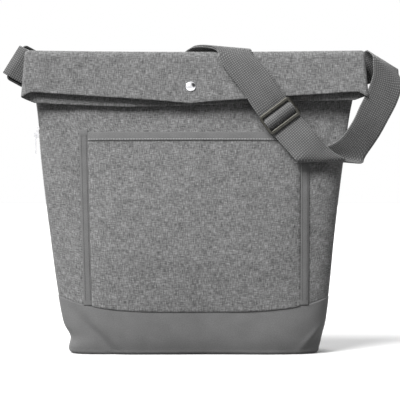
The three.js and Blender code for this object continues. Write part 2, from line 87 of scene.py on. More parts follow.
# The strap's route, as in the model: the middle of the webbing in millimetres, and the line across it.
STRAP_ROUTE = [
    # the sewn end, round the right ring's outer bar
    (206.1, 21, 343.6, -0.436, 0, 0.9),
    (197.1, 21.8, 339.3, -0.436, 0, 0.9),
    (190.4, 21.6, 336, -0.436, 0, 0.9),
    (185.9, 17, 333.9, -0.436, 0, 0.9),
    (190.4, 12.4, 336, -0.436, 0, 0.9),
    (196.2, 11.6, 338.9, -0.436, 0, 0.9),
    # up and over, out of the right side, and down the front
    (207, 10.5, 342.5, -0.46, 0, 0.89),
    (215.5, 8.5, 346.2, -0.62, 0, 0.78),
    (225.5, -1, 351, -0.84, -0.05, 0.52),
    (229, -13, 342, -0.76, -0.3, 0.5),
    (230, -18.5, 326.5, -0.82, -0.2, 0.5),
    (224, -20, 307, -0.86, -0.15, 0.46),
    (213.5, -21, 286, -0.86, -0.2, 0.45),
    (202.5, -21.5, 265, -0.82, -0.31, 0.44),
    (186.5, -22, 244, -0.83, -0.33, 0.34),
    # the turn at the bottom of the hanging loop
    (167.5, -25, 232.5, -0.94, -0.16, 0.17),
    (154.5, -32, 228.2, -0.99, 0, 0.04),
    (146.5, -38.5, 229.2, -0.99, 0, -0.1),
    (137, -41.5, 237.5, -0.89, -0.14, -0.4),
    (125.5, -40.2, 251, -0.83, 0, -0.56),
    (112, -35.8, 266.5, -0.8, 0, -0.6),
    # through the slider
    (104.8, -34, 275.6, -0.8, 0, -0.6),
    (101.8, -40, 279.6, -0.8, 0, -0.6),
    (98.2, -40, 284.4, -0.8, 0, -0.6),
    (95.2, -34.2, 288.4, -0.8, 0, -0.6),
    (87, -34, 299, -0.8, 0, -0.6),
    (73.5, -32, 320, -0.85, 0, -0.5),
    (58.5, -28, 340, -0.97, 0, -0.2),
    # over the top fold, crossing it on the slant
    (49, -22.5, 354, -1, 0, 0.03),
    (45, -14.5, 363.2, -0.99, 0, 0.08),
    (37, -4, 366.2, -0.99, 0, 0.09),
    (24.5, 6.5, 364.5, -0.99, 0, 0.1),
    (12, 14.5, 357.5, -0.99, 0, 0.12),
    # down and along the back, and up to the left ring
    (0, 18, 344, -0.95, 0, 0.25),
    (-14, 21.5, 324, -0.75, 0, 0.66),
    (-36, 24.5, 305, -0.54, 0, 0.84),
    (-66, 27, 292, -0.24, 0, 0.97),
    (-99, 28, 288, 0.05, 0, 1),
    (-132, 28.5, 294, 0.3, 0, 0.95),
    (-162, 28, 307, 0.42, 0, 0.9),
    (-186, 27.5, 323.5, 0.479, 0, 0.878),
    (-202, 27, 337, 0.479, 0, 0.878),
    (-212, 24.5, 345.5, 0.52, 0, 0.85),
    (-219, 22.2, 350.5, 0.56, 0, 0.83),
    (-224.3, 17, 353.6, 0.53, 0, 0.85),
    (-218, 11.8, 350, 0.56, 0, 0.83),
    (-210, 11.4, 345.4, 0.52, 0, 0.85),
    (-199, 11.6, 339.4, 0.5, 0, 0.86),
    (-190, 11.4, 334.5, 0.479, 0, 0.878),
]
DOUBLED = (25, 41)
LAYER = 2.0 * MM
# Where the second layer goes on past the doubled stretch: behind the slider's middle bar.
RETURN_END = [
    (100, -33.2, 282, -0.8, 0, -0.6),
    (95.2, -31.8, 288.4, -0.8, 0, -0.6),
]


# ---- camera, first ----
def make_camera():
    """Square on to the front, from far off, halfway up the bag."""
    view_width = 0.480
    distance = 1.9
    in_focus_y = -0.014
    data = bpy.data.cameras.new("camera")
    data.sensor_width = 36
    data.lens = data.sensor_width * distance / view_width
    camera = bpy.data.objects.new("camera", data)
    camera.location = (0.0054, in_focus_y - distance, 0.182)
    camera.rotation_euler = (math.radians(90), 0, 0)
    bpy.context.scene.collection.objects.link(camera)
    bpy.context.scene.camera = camera


# ---- mesh helpers ----
def smooth_between(xs, table):
    """Monotone cubic through the rows of a table whose first column is the place."""
    place, values = table[:, 0], table[:, 1:]
    step = np.diff(place)[:, None]
    slope = np.diff(values, axis=0) / step
    tangent = np.vstack([slope[:1], (slope[1:] + slope[:-1]) / 2, slope[-1:]])
    turned = slope[1:] * slope[:-1] <= 0
    tangent[1:-1][turned] = 0
    at = np.clip(np.searchsorted(place, xs, side="right") - 1, 0, len(place) - 2)
    h = step[at]
    t = ((xs - place[at])[:, None]) / h
    return (
        values[at] * (1 + 2 * t) * (1 - t) ** 2
        + values[at + 1] * t * t * (3 - 2 * t)
        + tangent[at] * h * t * (1 - t) ** 2
        + tangent[at + 1] * h * t * t * (t - 1)
    )


def unit(v):
    return v / np.maximum(np.linalg.norm(v, axis=-1, keepdims=True), 1e-12)


def grid_normals(points):
    across = np.gradient(points, axis=1)
    along = np.gradient(points, axis=0)
    return unit(np.cross(across, along))


def run_lengths(line):
    """How far along a line of points each of them is."""
    return np.concatenate([[0], np.linalg.norm(np.diff(line, axis=0), axis=1).cumsum()])


def grid_lengths(points):
    """The grid's own cloth coordinates in metres: (rows, columns, 2)."""
    u = np.array([run_lengths(row) for row in points])
    v = np.array([run_lengths(column) for column in points.swapaxes(0, 1)]).T
    return np.dstack([u - u[:, -1:] / 2, v])


def mesh_object(name, vertices, faces, material, uv=None):
    mesh = bpy.data.meshes.new(name)
    mesh.from_pydata([tuple(v) for v in vertices], [], [tuple(f) for f in faces])
    mesh.update()
    if uv is not None:
        layer = mesh.uv_layers.new(name="UVMap")
        loops = np.zeros(len(mesh.loops), np.int32)
        mesh.loops.foreach_get("vertex_index", loops)
        layer.data.foreach_set("uv", np.asarray(uv, np.float32)[loops].ravel())
    mesh.polygons.foreach_set("use_smooth", [True] * len(mesh.polygons))
    mesh.materials.append(material)
    obj = bpy.data.objects.new(name, mesh)
    bpy.context.scene.collection.objects.link(obj)
    return obj


def cloth(name, points, thickness, material, uv=None, start=(0.0, 0.0), joined=(), turn=False):
    """A closed sheet of cloth around a grid of points on its middle surface, with rounded rims.

    start moves the cloth's own coordinates. A row number in joined ends flush, against the next piece.
    turn reverses the columns, so that the cloth's outside faces out.
    """
    points = points[:, ::-1] if turn else points
    rows, columns = points.shape[:2]
    normals = grid_normals(points)
    uv = grid_lengths(points) + np.array(start) if uv is None else uv
    half = thickness / 2
    vertices = np.concatenate([(points + side * normals * half).reshape(-1, 3) for side in (1, -1)])
    coords = np.concatenate([uv.reshape(-1, 2)] * 2)
    index = np.arange(rows * columns).reshape(rows, columns)
    back = index + rows * columns
    faces = []

    def patch(*corners):
        faces.extend(np.dstack(corners).reshape(-1, 4).tolist())

    patch(index[:-1, :-1], index[:-1, 1:], index[1:, 1:], index[1:, :-1])
    patch(back[:-1, :-1], back[1:, :-1], back[1:, 1:], back[:-1, 1:])
    # the rim has one more line of points, pushed out by half the thickness
    ring = np.concatenate([index[0, :-1], index[:-1, -1], index[-1, :0:-1], index[:0:-1, 0]])
    flat = points.reshape(-1, 3)
    push = np.zeros_like(flat).reshape(rows, columns, 3)
    along, across = np.gradient(points, axis=0), np.gradient(points, axis=1)
    push[0] -= unit(along[0])
    push[-1] += unit(along[-1])
    push[:, 0] -= unit(across[:, 0])
    push[:, -1] += unit(across[:, -1])
    for row in joined:
        push[row] = 0
    rim = flat[ring] + unit(push.reshape(-1, 3)[ring]) * half * 0.9
    edge = len(vertices) + np.arange(len(ring))
    next_ring, next_edge = np.roll(ring, -1), np.roll(edge, -1)
    patch(next_ring, ring, edge, next_edge)
    patch(ring + rows * columns, next_ring + rows * columns, next_edge, edge)
    vertices = np.concatenate([vertices, rim])
    coords = np.concatenate([coords, uv.reshape(-1, 2)[ring]])
    piece = mesh_object(name, vertices, faces, material, coords)
    if joined:
        sharpen(piece, {int(i) for row in joined for i in (*index[row], *back[row])})
    return piece


def sharpen(piece, corners):
    """Edges between these vertices shade as a clean cut, so the next piece carries the surface on."""
    sharp = piece.data.attributes.new("sharp_edge", "BOOLEAN", "EDGE")
    for edge in piece.data.edges:
        first, second = edge.vertices
        sharp.data[edge.index].value = first in corners and second in corners


def tube_faces(rings, sides, base=0, closed=False):
    """Quads between rings of vertices, and a cap at each end unless the last ring joins the first."""
    faces = []
    for i in range(rings if closed else rings - 1):
        a, b = base + i * sides, base + (i + 1) % rings * sides
        for k in range(sides):
            m = (k + 1) % sides
            faces.append((a + k, a + m, b + m, b + k))
    if not closed:
        last = base + (rings - 1) * sides
        faces.append(tuple(range(base + sides - 1, base - 1, -1)))
        faces.append(tuple(range(last, last + sides)))
    return faces


def sweep(name, path, half, material, normal, closed=False, sides=12, square=2.0):
    """A bar along a path: half its size in the path's plane and across it, and its squareness."""
    path = np.asarray(path, float)
    run = unit(np.roll(path, -1, 0) - np.roll(path, 1, 0)) if closed else unit(np.gradient(path, axis=0))
    angles = (np.arange(sides) + 0.5) * 2 * math.pi / sides
    c, s = np.cos(angles), np.sin(angles)
    in_plane = np.sign(c) * np.abs(c) ** (2 / square) * half[0]
    through = np.sign(s) * np.abs(s) ** (2 / square) * half[1]
    vertices = []
    for place, direction in zip(path, run):
        up = unit(normal - direction * normal.dot(direction))
        side = np.cross(direction, up)
        vertices.extend(place + side * p + up * t for p, t in zip(in_plane, through))
    return mesh_object(name, vertices, tube_faces(len(path), sides, closed=closed), material)


def rounded_frame(middle, right, up, width, height, radius, corner_steps=6):
    """Points around a rounded rectangle that lies along right and up."""
    x, y = width / 2 - radius, height / 2 - radius
    points = []
    for cx, cy, turn in ((x, y, 0), (-x, y, 1), (-x, -y, 2), (x, -y, 3)):
        for k in range(corner_steps + 1):
            a = (turn + k / corner_steps) * math.pi / 2
            u, v = cx + radius * math.cos(a), cy + radius * math.sin(a)
            points.append(middle + right * u + up * v)
    return points


def stitches(name, lines, normal, material, pitch=4.0 * MM, radius=0.38 * MM):
    """Rows of thread along lines of places: each stitch is a short spindle that lies on the cloth."""
    vertices, faces = [], []
    sides = 6
    angle = (np.arange(sides) * 2 * math.pi / sides)[:, None]
    # how far along the stitch, how thick and how high, as shares
    share, size, lift = np.array([
        (0.0, 0.15, 0.1), (0.12, 0.75, 0.6), (0.5, 1.0, 0.9), (0.88, 0.75, 0.6), (1.0, 0.15, 0.1),
    ]).T
    for line in lines:
        along = run_lengths(line)
        for k in range(max(1, int(along[-1] / pitch))):
            places = k * pitch + share * STITCH
            centre = np.column_stack([np.interp(places, along, line[:, a]) for a in range(3)])
            centre += lift[:, None] * radius * normal
            side = unit(np.cross(centre[-1] - centre[0], normal))
            around = np.cos(angle) * side + np.sin(angle) * normal
            faces.extend(tube_faces(len(share), sides, len(vertices)))
            for middle, thick in zip(centre, size):
                vertices.extend(middle + radius * thick * around)
    return mesh_object(name, vertices, faces, material)


def lathe(name, profile, at, axis, material, segments=48):
    """A turned piece: profile of (radius, height) pairs along axis."""
    axis = Vector(axis).normalized()
    turn = Vector((0, 0, 1)).rotation_difference(axis).to_matrix()
    vertices = []
    for r, h in profile:
        for k in range(segments):
            a = 2 * math.pi * k / segments
            vertices.append(Vector(at) + turn @ Vector((r * math.cos(a), r * math.sin(a), h)))
    return mesh_object(name, vertices, tube_faces(len(profile), segments), material)


def ripple(x, z, size, seed, height):
    """Smooth ripples of about that size and up to that many millimetres high, over the places."""
    x, z = np.broadcast_arrays(x, z)
    values = [
        noise.noise(Vector((a / size + seed * 7.3, -seed * 3.1, b / size + seed)))
        for a, b in zip(x.ravel(), z.ravel())
    ]
    return np.array(values).reshape(x.shape) * height * MM


# ---- materials ----
def add_node(tree, kind, **settings):
    """A new node, with its sockets or its own settings set by name."""
    node = tree.nodes.new(kind)
    for key, value in settings.items():
        if key in node.inputs:
            node.inputs[key].default_value = value
        else:
            setattr(node, key, value)
    return node


class Nodes:
    """Short calls for making a material's nodes."""

    def __init__(self, name, roughness, metallic=0.0, sheen=0.0, specular=0.5):
        self.material = bpy.data.materials.new(name)
        self.material.use_nodes = True
        self.tree = self.material.node_tree
        self.shader = self.tree.nodes["Principled BSDF"]
        values = {"Roughness": roughness, "Metallic": metallic, "Sheen Weight": sheen,
                  "Specular IOR Level": specular}
        for socket, value in values.items():
            self.shader.inputs[socket].default_value = value

    def add(self, kind, **settings):
        return add_node(self.tree, kind, **settings)

    def link(self, source, output, target, socket):
        self.tree.links.new(source.outputs[output], target.inputs[socket])

    def place(self, scale, space):
        """The surface's own coordinates, scaled each way."""
        source = self.tree.nodes.get("Texture Coordinate") or self.add("ShaderNodeTexCoord")
        mapping = self.add("ShaderNodeMapping", Scale=scale)
        self.link(source, space, mapping, "Vector")
        return mapping

    def noise(self, scale, space="UV", detail=2.0, rough=0.5):
        node = self.add("ShaderNodeTexNoise", Scale=1.0, Detail=detail, Roughness=rough)
        self.link(self.place(scale, space), "Vector", node, "Vector")
        return node.outputs["Fac"]

    def maths(self, operation, a, b):
        node = self.add("ShaderNodeMath", operation=operation)
        for k, value in enumerate((a, b)):
            if isinstance(value, (int, float)):
                node.inputs[k].default_value = value
            else:
                self.tree.links.new(value, node.inputs[k])
        return node.outputs[0]

    def total(self, *parts):
        """The sum of values, each times its weight."""
        found = 0.0
        for value, weight in parts:
            found = self.maths("ADD", found, self.maths("MULTIPLY", value, weight))
        return found

    def ramp(self, value, stops):
        node = self.add("ShaderNodeValToRGB")
        elements = node.color_ramp.elements
        while len(elements) < len(stops):
            elements.new(0.5)
        for element, (place, grey) in zip(elements, stops):
            element.position = place
            colour = grey if isinstance(grey, tuple) else (grey, grey, grey)
            element.color = (*colour, 1)
        self.tree.links.new(value, node.inputs["Fac"])
        return node

    def colour(self, value, stops):
        self.link(self.ramp(value, stops), "Color", self.shader, "Base Color")

    def bump(self, height, distance, strength):
        node = self.add("ShaderNodeBump", Strength=strength, Distance=distance)
        self.tree.links.new(height, node.inputs["Height"])
        self.link(node, "Normal", self.shader, "Normal")

    def wave(self, direction, count):
        """Soft bands across the cloth's own X or Y, closer together for a larger count."""
        node = self.add("ShaderNodeTexWave", wave_type="BANDS", bands_direction=direction,
                        Scale=1.0, Distortion=0.6, Detail=1.0)
        scale = (count, 0, 0) if direction == "X" else (0, count, 0)
        self.link(self.place(scale, "UV"), "Vector", node, "Vector")
        return node.outputs["Fac"]

    def weave(self, count):
        """Bands both ways, as crossing threads."""
        return self.maths("ADD", self.wave("X", count), self.wave("Y", count))


def heather_cloth():
    """Two-tone yarns in both directions, with slubs: light and dark dashes across and along."""
    n = Nodes("heather_cloth", roughness=0.88, sheen=0.12, specular=0.25)
    along = n.noise((980, 150, 1), rough=0.55)
    across = n.noise((150, 1080, 1), rough=0.55)
    specks = n.noise((640, 560, 1), rough=0.6)
    patches = n.noise((60, 80, 1), detail=3.0)
    weights = (1.0, 1.0, 0.35, 0.30)
    yarns = n.total(*zip((along, across, specks, patches), weights))
    tone = n.maths("MULTIPLY", yarns, 1 / sum(weights))
    n.colour(tone, [(0.36, 0.060), (0.46, 0.150), (0.53, 0.235), (0.64, 0.40)])
    n.bump(n.total((n.weave(230), 1.0), (yarns, 1.5)), 0.16 * MM, 0.7)
    return n.material


def plain_cloth(name, dark, light):
    """Even plain weave with a faint mottle, for the base band and the tapes."""
    n = Nodes(name, roughness=0.82, sheen=0.1, specular=0.3)
    threads = n.noise((900, 900, 1), rough=0.6)
    patches = n.noise((45, 45, 1))
    n.colour(n.total((threads, 0.7), (patches, 0.3)), [(0.32, dark), (0.68, light)])
    n.bump(n.weave(260), 0.10 * MM, 0.7)
    return n.material


def webbing_cloth():
    """Flat webbing: ribs across it and cords along it, a little worn."""
    n = Nodes("webbing_cloth", roughness=0.8, sheen=0.15, specular=0.3)
    ribs = n.wave("Y", 125)
    cords = n.wave("X", 125)
    fuzz = n.noise((700, 1300, 1), rough=0.6)
    wear = n.noise((50, 25, 1))
    dots = n.maths("MULTIPLY", ribs, cords)
    tone = n.total((dots, 0.45), (fuzz, 0.35), (wear, 0.2))
    n.colour(tone, [(0.15, 0.060), (0.4, 0.130), (0.8, 0.31)])
    n.bump(n.total((ribs, 1.0), (cords, 0.6)), 0.3 * MM, 0.8)
    return n.material


def thread(name, dark, light):
    """Sewing thread, mottled as twisted yarn is."""
    n = Nodes(name, roughness=0.6, sheen=0.2, specular=0.4)
    n.colour(n.noise((900, 900, 900), "Object", detail=1.0), [(0.35, dark), (0.65, light)])
    return n.material


def metal(name, dark, light, roughness, metallic=1.0):
    """Plated metal with faint handling marks in its gloss and tone."""
    n = Nodes(name, roughness=roughness, metallic=metallic)
    marks = n.noise((260, 260, 260), "Object", detail=4.0, rough=0.65)
    n.colour(marks, [(0.3, dark), (0.7, light)])
    gloss = n.ramp(marks, [(0.3, roughness * 0.8), (0.75, roughness * 1.35)])
    n.link(gloss, "Color", n.shader, "Roughness")
    n.bump(marks, 0.02 * MM, 0.5)
    return n.material


def board_plastic():
    """The grained dark plastic of the board in the base."""
    n = Nodes("board_plastic", roughness=0.6)
    grain = n.noise((1200, 1200, 1200), "Object")
    n.colour(grain, [(0.3, 0.02), (0.7, 0.04)])
    n.bump(grain, 0.1 * MM, 0.5)
    return n.material


HEATHER = heather_cloth()
BASE_CLOTH = plain_cloth("base_cloth", 0.135, 0.215)
TAPE_CLOTH = plain_cloth("tape_cloth", 0.127, 0.208)
ZIP_CLOTH = plain_cloth("zip_cloth", 0.004, 0.014)
WEBBING = webbing_cloth()
GREY_THREAD = thread("grey_thread", 0.36, 0.56)
DARK_THREAD = thread("dark_thread", 0.06, 0.12)
SILVER = metal("silver_metal", (0.72, 0.72, 0.74), (0.86, 0.86, 0.88), 0.16)
BLACK_METAL = metal("black_metal", (0.008, 0.008, 0.008), (0.018, 0.018, 0.018), 0.35, metallic=0.3)
GUNMETAL = metal("gunmetal", (0.040, 0.039, 0.034), (0.075, 0.073, 0.065), 0.40)
ZIP_TEETH = metal("zip_teeth", (0.01, 0.01, 0.01), (0.025, 0.025, 0.025), 0.4, metallic=0.0)
BOARD = board_plastic()


# ---- the tube's surface ----
COLUMNS = 170
ZIP_TOP = 0.271
ZIP_BOTTOM = 0.151
ZIP_HALF = 5.2 * MM
NECK_FLAT = 0.199                  # half the flat part of the neck's width
NECK_ROUND = 4.4 * MM              # radius of the fold at each side of the neck
SPREAD = np.linspace(0, 1, COLUMNS)
ACROSS = 0.55 * SPREAD + 0.45 * (1 - np.cos(math.pi * SPREAD)) / 2


def smoothstep(value, low, high):
    t = np.clip((value - low) / (high - low), 0, 1)
    return t * t * (3 - 2 * t)


def sections(z):
    """The tube's half width, half depth and squareness at each height."""
    flat = np.clip(np.asarray(z, float).ravel(), 0, NECK_Z)
    return smooth_between(flat, SECTIONS).reshape(*np.shape(z), 3)


def lean(z):
    """How far the tube's middle stands to the side."""
    return -SIDE_LEAN * np.sin(math.pi * np.asarray(z) / NECK_Z)


def section_table(inset, levels=120, places=400):
    """Points along half the tube's outline, evenly along the cloth, at even heights; and its length."""
    heights = np.linspace(0, NECK_Z, levels)
    angle = np.linspace(0, math.pi, 1441)
    c, s = np.cos(angle), np.sin(angle)
    table = np.zeros((levels, places, 2))
    lengths = np.zeros(levels)
    for k, (half_width, half_depth, square) in enumerate(sections(heights)):
        x = -np.sign(c) * np.abs(c) ** (2 / square) * (half_width - inset)
        y = np.abs(s) ** (2 / square) * (half_depth - inset)
        run = run_lengths(np.column_stack([x, y]))
        even = np.linspace(0, run[-1], places)
        table[k, :, 0] = np.interp(even, run, x) + lean(heights[k])
        table[k, :, 1] = np.interp(even, run, y)
        lengths[k] = run[-1]
    return table, lengths


TABLES = {}


def tube(across, z, side, inset):
    """Points on half the tube: across runs 0 to 1 from left seam to right, side -1 is the front."""
    if inset not in TABLES:
        TABLES[inset] = section_table(inset)
    table, lengths = TABLES[inset]
    levels, places = table.shape[:2]
    across, z = np.broadcast_arrays(across, z)
    row = np.clip(z / NECK_Z * (levels - 1), 0, levels - 1.001)
    # the cloth starts behind the zip where there is one
    length = np.interp(row, np.arange(levels), lengths)
    open_by = ZIP_HALF * smoothstep(z, ZIP_BOTTOM - 0.004, ZIP_BOTTOM + 0.002)
    open_by = open_by * (1 - smoothstep(z, ZIP_TOP - 0.002, ZIP_TOP + 0.004)) / length
    column = np.clip((open_by + (1 - open_by) * across) * (places - 1), 0, places - 1.001)
    r, c = row.astype(int), column.astype(int)
    v, u = (row - r)[..., None], (column - c)[..., None]
    flat = (
        table[r, c] * (1 - u) * (1 - v) + table[r, c + 1] * u * (1 - v)
        + table[r + 1, c] * (1 - u) * v + table[r + 1, c + 1] * u * v
    )
    return np.stack([flat[..., 0], side * (flat[..., 1] + GAP / 2), z], axis=-1)


def half_tube_outline():
    """The flattened tube at the neck: places across it, and how far each stands from its middle."""
    bend = NECK_ROUND * math.pi / 2
    run = ACROSS * (2 * NECK_FLAT + 2 * bend)
    x = run - bend - NECK_FLAT
    stand = np.full(COLUMNS, NECK_ROUND)
    for sign in (-1, 1):
        past = sign * x - NECK_FLAT
        turn = np.clip(past, 0, bend) / NECK_ROUND
        x = np.where(past > 0, sign * (NECK_FLAT + NECK_ROUND * np.sin(turn)), x)
        stand = np.where(past > 0, NECK_ROUND * np.cos(turn), stand)
    return x, stand


def front_y(x, z):
    """How far in front of the side seams the tube's front is."""
    half_width, half_depth, square = np.moveaxis(sections(z), -1, 0)
    across = np.clip(np.abs(x - lean(z)) / half_width, 0, 1)
    return half_depth * (1 - across ** square) ** (1 / square) + GAP / 2


def seam_z(x):
    """The base seam, which curves up towards the sides."""
    return SEAM_MIDDLE_Z + SEAM_RISE * (np.abs(x) / SEAM_HALF_WIDTH) ** 3.8


def bell(value, centre, width):
    return np.exp(-((value - centre) / width) ** 2)


def slackness(x, z):
    """How far the slack cloth stands in (-) or out (+): dents, a few creases, and the base's corners."""
    broad = ripple(x, z, 0.085, 1, 2.2)
    middle = ripple(x * 1.2, z * 0.8, 0.035, 2, 0.7)
    # creases that run down and out from under the flap's ends
    left = bell(x + 0.60 * (z - 0.26), -0.168, 0.010) * bell(z, 0.27, 0.045) * 2.0 * MM
    right = bell(x - 0.55 * (z - 0.25), 0.160, 0.010) * bell(z, 0.25, 0.05) * -2.4 * MM
    # the cloth hangs back below the flap, more so on the right
    hollow = bell(z, 0.284, 0.026) * (1.5 + 8.0 * smoothstep(x, 0.0, 0.15)) * -MM
    return broad + middle + left + right + hollow + corner_folds(x, z)


def corner_folds(x, z):
    """The base's left corner slumps out below a diagonal fold; the right one dents in under a ridge."""
    low = bell(z, 0.018, 0.024)
    left_fold = bell(x + 0.9 * (z - 0.02), -0.112, 0.008) * low * -3.8 * MM
    left_slump = bell(x + 0.8 * z, -0.130, 0.012) * low * 3.4 * MM
    right_ridge = bell(x - 0.95 * (z - 0.006), 0.124, 0.006) * bell(z, 0.026, 0.020) * 2.2 * MM
    right_dent = bell(x - 0.85 * (z - 0.006), 0.141, 0.011) * bell(z, 0.024, 0.013) * -8.5 * MM
    return left_fold + left_slump + right_ridge + right_dent


def back_slackness(x, z):
    """The back's own dents; its base corners slump a little."""
    corners = bell(np.abs(x) + 0.8 * z, 0.128, 0.012) * bell(z, 0.018, 0.024) * 2.2 * MM
    return ripple(x, z, 0.09, 11, 2.4) + ripple(x, z, 0.04, 12, 0.6) + corners


def slack_fade(depth_share, z):
    """Slack dies out towards the side seams, the neck and the ground."""
    return np.clip(depth_share * 1.3, 0, 1) * np.clip((NECK_Z - z) / 0.06, 0, 1)


def left_foot(x, z):
    """The base's left corner is pinched in above the ground and spreads out on it."""
    spread = bell(z, 0.004, 0.009) * -3.6 * MM
    pinch = bell(z, 0.021, 0.009) * 3.4 * MM
    return (spread + pinch) * smoothstep(-x, 0.105, 0.140)


def settle(points, side, slack):
    """The ideal tube's points, moved to where the slack cloth lies."""
    x, z = points[..., 0], points[..., 2]
    share = np.abs(points[..., 1]) / np.maximum(sections(z)[..., 1], 1e-6)
    moved = points.copy()
    moved[..., 0] += left_foot(x, z)
    moved[..., 1] += side * slack(x, z) * slack_fade(share, z)
    return moved


def wall_depth(x, z, slack):
    """How far the settled wall stands from the middle of the bag."""
    depth = front_y(x, z)
    share = depth / np.maximum(sections(z)[..., 1], 1e-6)
    return depth + slack(x, z) * slack_fade(share, z)


def front_surface(x, z, lift):
    """The settled front of the body at a place, as points, standing off by lift."""
    x, z = np.broadcast_arrays(x, z)
    return np.stack([x, -wall_depth(x, z, slackness) - lift, z], axis=-1)


# ---- body ----
def seam_heights(side):
    return seam_z(tube(ACROSS, SEAM_MIDDLE_Z, side, 0.0)[:, 0])


def body_wall(name, side, slack):
    """One side of the heather tube, from the base seam up to the flattened neck."""
    rows = 120
    low = seam_heights(side)
    heights = low + (NECK_Z - low) * np.linspace(0, 1, rows)[:, None]
    grid = settle(tube(ACROSS, heights, side, CLOTH / 2), side, slack)
    x, stand = half_tube_outline()
    neck = np.column_stack([x, side * stand])
    mix = smoothstep(heights, NECK_Z - 0.025, NECK_Z)[..., None]
    grid[..., :2] = grid[..., :2] * (1 - mix) + neck * mix
    return cloth(name, grid, CLOTH, HEATHER, joined=(rows - 1,), turn=side > 0)


def base_wall(name, side, slack):
    """Half the base: the band from the seam down, then turned under to the middle of the bottom."""
    up_rows, turn_rows, under_rows = 40, 8, 14
    turn = 5 * MM
    top = seam_heights(side) - 0.2 * MM
    heights = turn + (top - turn) * np.linspace(1, 0, up_rows)[:, None]
    rows = list(settle(tube(ACROSS, heights, side, 0.0), side, slack))
    edge = rows[-1]
    inward = unit(-edge * (1, 1, 0))
    rest = CLOTH / 2 + 0.1 * MM
    for angle in np.linspace(0, math.pi / 2, turn_rows + 1)[1:]:
        row = edge + inward * turn * (1 - math.cos(angle))
        row[:, 2] = turn - (turn - rest) * math.sin(angle)
        rows.append(row)
    last = rows[-1]
    middle = last * (1, 0, 1) + (0, side * GAP / 2, 0)
    rows += [last * (1 - t) + middle * t for t in np.linspace(0, 1, under_rows + 1)[1:]]
    return cloth(name, np.array(rows), CLOTH, BASE_CLOTH, turn=side < 0)


def place(piece, body, nodes, slot, ends=None):
    """Puts a piece on its body in place of those nodes; a piece given ends only has its place baked into
    its mesh.
    """
    if ends is None:
        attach(piece, body)
    else:
        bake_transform(piece)
    if nodes:
        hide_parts(*nodes)


def make_body():
    base_nodes = ["base_back_band", "base_bottom"]
    walls = [
        (body_wall("front_cloth", -1, slackness), ["front_panel"], "heather_fabric", 0.300),
        (body_wall("back_cloth", 1, back_slackness), ["back_panel"], "heather_fabric", 0.300),
        (base_wall("base_front_cloth", -1, slackness), ["base_front_band"], "base_fabric", 0.110),
        (base_wall("base_back_cloth", 1, back_slackness), base_nodes, "base_fabric", 0.110),
    ]
    for piece, nodes, slot, tall in walls:
        place(piece, "bag", nodes, slot)
    dress(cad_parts["base_board"], BOARD, bevel=0.8 * MM)


def dress(node, material, bevel, segments=3):
    """Shows a node of the model with its looks and softened edges."""
    node.data.materials.clear()
    node.data.materials.append(material)
    for polygon in node.data.polygons:
        polygon.use_smooth = True
    edges = node.modifiers.new("soft_edges", "BEVEL")
    edges.width = bevel
    edges.segments = segments
    edges.limit_method = "ANGLE"
    edges.angle_limit = math.radians(35)
    edges.harden_normals = True


# ---- pocket ----
def pocket_edges(z):
    """The left and right edges, which come together a little towards the foot."""
    t = (POCKET_TOP - z) / (POCKET_TOP - POCKET_FOOT)
    return POCKET_LEFT + 0.0075 * t, POCKET_RIGHT - 0.0025 * t


def pocket_lift(across, z):
    """The pocket lies on the body at its sewn edges and stands off it at its mouth."""
    rise = np.clip((z - SEAM_MIDDLE_Z) / 0.06, 0, 1)
    return GAP + POCKET_BULGE * np.sin(math.pi * across) ** 0.6 * rise


def pocket_points(across, z, lift):
    left, right = pocket_edges(z)
    x = left + GAP + (right - left - 2 * GAP) * across
    edge = np.clip(np.minimum(across, 1 - across) * 12, 0, 1)
    return front_surface(x, z, pocket_lift(across, z) + ripple(x, z, 0.05, 21, 0.5) * edge + lift)


def pocket_panel():
    rows, columns = 100, 130
    across = np.linspace(0, 1, columns)
    left, right = pocket_edges(SEAM_MIDDLE_Z + 0.005)
    low = seam_z(left + (right - left) * across) + 0.6 * MM
    up = np.linspace(0, 1, rows)[:, None]
    z = low + (POCKET_TOP - 1.5 * MM - low) * up
    grid = pocket_points(across, z, CLOTH / 2)
    piece = cloth("pocket_cloth", grid, CLOTH, HEATHER, start=(0.013, 0.007))
    place(piece, "bag", ["front_pocket"], "heather_fabric")


def pocket_binding():
    """A tape folded over the pocket's top edge; gives the line that it is sewn along."""
    across = np.linspace(0, 1, 130)
    half = CLOTH / 2 + 0.45 * MM
    profile = [(-share * BINDING_HEIGHT, -half) for share in (1, 0.75, 0.4)]
    for angle in np.linspace(-math.pi / 2, math.pi / 2, 9):
        profile.append((-1.2 * MM + half * math.cos(angle), half * math.sin(angle)))
    for share, out in ((0.4, 1), (0.7, 1.1), (0.85, 0.9), (1, 1.15)):
        profile.append((-share * BINDING_HEIGHT, half * out))
    rows = [
        pocket_points(across, POCKET_TOP + down, CLOTH / 2 + out + 0.2 * MM) for down, out in profile
    ]
    piece = cloth("binding_cloth", np.array(rows), 0.8 * MM, TAPE_CLOTH, turn=True)
    place(piece, "bag", ["pocket_top_binding"], "tape_fabric")
    return [pocket_points(across, POCKET_TOP - 0.86 * BINDING_HEIGHT, CLOTH + 0.85 * MM)]


